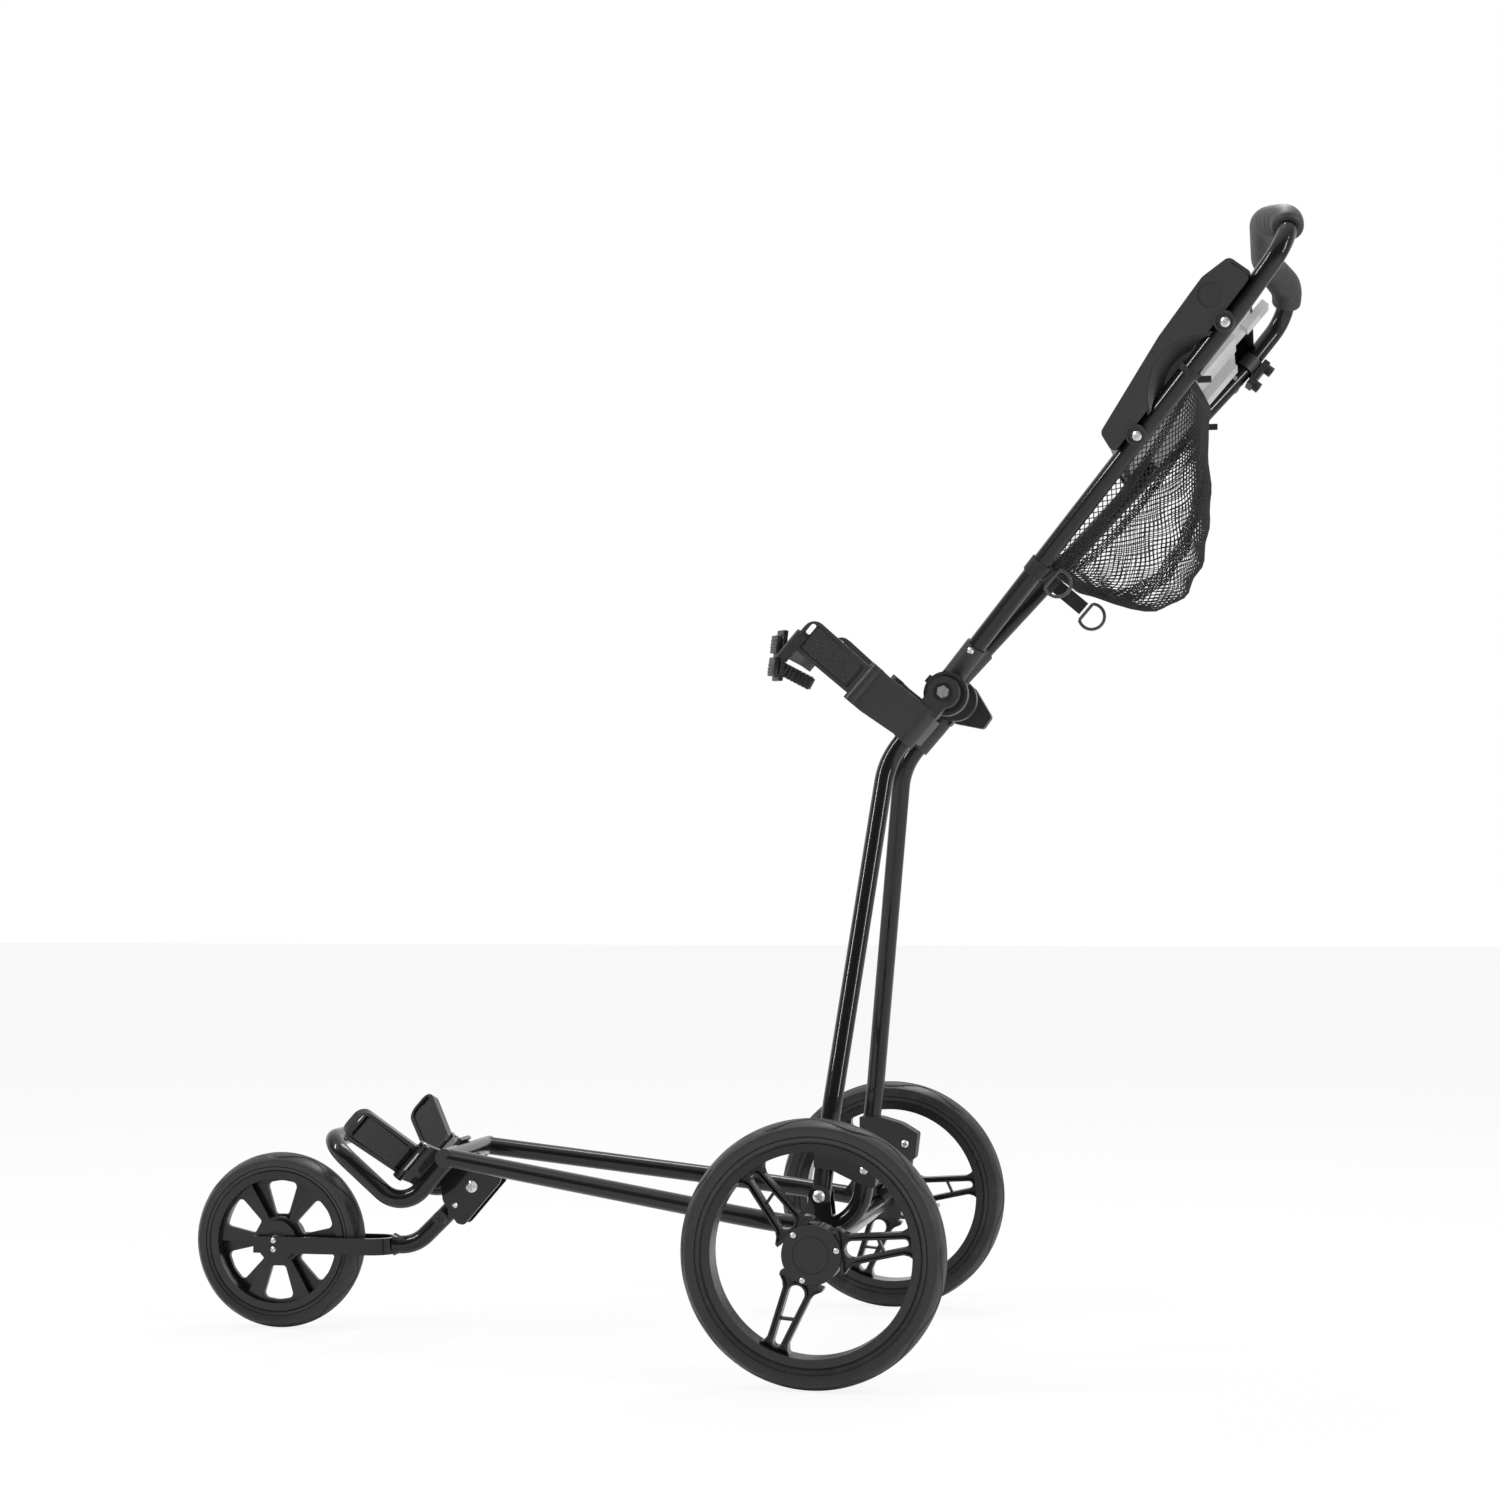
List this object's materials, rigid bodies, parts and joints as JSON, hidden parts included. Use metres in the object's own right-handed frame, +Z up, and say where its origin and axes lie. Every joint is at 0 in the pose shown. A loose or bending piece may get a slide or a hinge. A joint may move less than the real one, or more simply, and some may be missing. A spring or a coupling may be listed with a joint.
{
  "type": "golf push cart",
  "caption": "Folding golf push cart with three wheels, hinged bag cradles, a folding handle, console and net bag; it stands without a bag.",
  "frame": {"origin": "on the ground, below the middle of the overall length, on the middle plane", "axes": "+X forward, the way the cart rolls; +Y to its left; +Z up"},
  "size_m": [1.3559, 0.663, 1.3157],
  "materials": {
    "tyre": "matte",
    "rim": "satin",
    "steel": "zinc plated",
    "tube": "gloss black",
    "plastic": "satin",
    "grey_plastic": "satin",
    "foam": "matte",
    "webbing": "woven",
    "ring": "gloss"
  },
  "bodies": {
    "lower_frame": {"lower_tube_left": "tube", "lower_tube_right": "tube", "axle_tube": "tube", "crossbar": "tube", "end_caps": "plastic", "base_loop": "tube", "wheel_bolts": "steel", "pivot_ears": "tube", "ear_bolts": "steel", "mast_clip_left": "plastic", "mast_clip_right": "plastic", "clip_screws": "steel", "fork_bracket": "tube", "fork_bolt": "steel", "cradle_base": "tube", "cradle_pins": "steel", "brake_housing": "plastic"},
    "rear_wheel_left": {"rear_tyre_left": "tyre", "rear_rim_left": "rim", "bearings_left": "steel", "hub_cap_left": "rim", "hub_cap_screws_left": "steel"},
    "rear_wheel_right": {"rear_tyre_right": "tyre", "rear_rim_right": "rim", "bearings_right": "steel", "hub_cap_right": "rim", "hub_cap_screws_right": "steel"},
    "fork": {"front_fork": "tube", "front_axle": "steel", "fork_screws": "steel"},
    "front_wheel": {"front_tyre": "tyre", "front_rim": "rim", "front_bearings": "steel"},
    "button": {"fold_button": "plastic"},
    "cradle_left": {"lower_arm_left": "plastic"},
    "cradle_right": {"lower_arm_right": "plastic"},
    "pedal": {"brake_pedal": "grey_plastic"},
    "mast": {"mast_tube_left": "tube", "mast_tube_right": "tube", "upper_bracket": "plastic", "hinge_bolt": "steel", "upper_pins": "steel"},
    "arm_left": {"upper_arm_left": "plastic", "bag_strap": "webbing", "strap_buckle": "plastic"},
    "arm_right": {"upper_arm_right": "plastic"},
    "lever": {"hinge_lever": "plastic"},
    "handle": {"handle_hub": "plastic", "hub_screws": "steel", "handle_tube": "tube", "grip": "foam", "console_tray": "plastic", "console_base": "grey_plastic", "console_bolts": "steel", "accessory_clamp": "plastic", "net_bag": "webbing", "net_straps": "webbing", "d_rings": "ring"},
    "lid": {"console_lid": "plastic"}
  },
  "joints": [
    {"name": "rear_wheel_left_spin", "type": "hinge", "parent": "lower_frame", "child": "rear_wheel_left", "pos_m": [-0.14605, 0.312, 0.145], "axis": [0, 1, 0], "continuous": true},
    {"name": "rear_wheel_right_spin", "type": "hinge", "parent": "lower_frame", "child": "rear_wheel_right", "pos_m": [-0.14605, -0.312, 0.145], "axis": [0, 1, 0], "continuous": true},
    {"name": "fork_fold", "type": "hinge", "parent": "lower_frame", "child": "fork", "pos_m": [0.32295, 0, 0.178], "axis": [0, 1, 0], "range_deg": [0, 145]},
    {"name": "front_wheel_spin", "type": "hinge", "parent": "fork", "child": "front_wheel", "pos_m": [0.57095, 0, 0.107], "axis": [0, 1, 0], "continuous": true},
    {"name": "button_press", "type": "slide", "parent": "fork", "child": "button", "axis": [0, -1, 0], "range_m": [0, 0.003], "stiffness_N_per_m": 800, "springref_m": -0.002},
    {"name": "cradle_left_swing", "type": "hinge", "parent": "lower_frame", "child": "cradle_left", "pos_m": [0.38453, 0.062, 0.21254], "axis": [0.6547, 0, -0.7559], "range_deg": [0, 60]},
    {"name": "cradle_right_swing", "type": "hinge", "parent": "lower_frame", "child": "cradle_right", "pos_m": [0.38453, -0.062, 0.21254], "axis": [-0.6547, 0, 0.7559], "range_deg": [0, 60]},
    {"name": "brake_press", "type": "hinge", "parent": "lower_frame", "child": "pedal", "pos_m": [-0.17005, -0.258, 0.129], "axis": [0, -1, 0], "range_deg": [0, 18]},
    {"name": "mast_fold", "type": "hinge", "parent": "lower_frame", "child": "mast", "pos_m": [-0.13205, 0, 0.193], "axis": [0, 1, 0], "range_deg": [0, 60]},
    {"name": "arm_left_swing", "type": "hinge", "parent": "mast", "child": "arm_left", "pos_m": [-0.16956, 0.088, 0.77646], "axis": [0.6547, 0, -0.7559], "range_deg": [0, 50], "deforming": ["bag_strap"]},
    {"name": "arm_right_swing", "type": "hinge", "parent": "mast", "child": "arm_right", "pos_m": [-0.16956, -0.088, 0.77646], "axis": [-0.6547, 0, 0.7559], "range_deg": [0, 50], "deforming": ["bag_strap"]},
    {"name": "lever_turn", "type": "hinge", "parent": "mast", "child": "lever", "pos_m": [-0.26105, -0.094, 0.766], "axis": [0, 1, 0], "range_deg": [0, 90]},
    {"name": "handle_fold", "type": "hinge", "parent": "mast", "child": "handle", "pos_m": [-0.26105, 0, 0.766], "axis": [0, 1, 0], "range_deg": [0, 90]},
    {"name": "lid_open", "type": "hinge", "parent": "handle", "child": "lid", "pos_m": [-0.51665, 0, 1.16111], "axis": [0, 1, 0], "range_deg": [0, 100]}
  ]
}
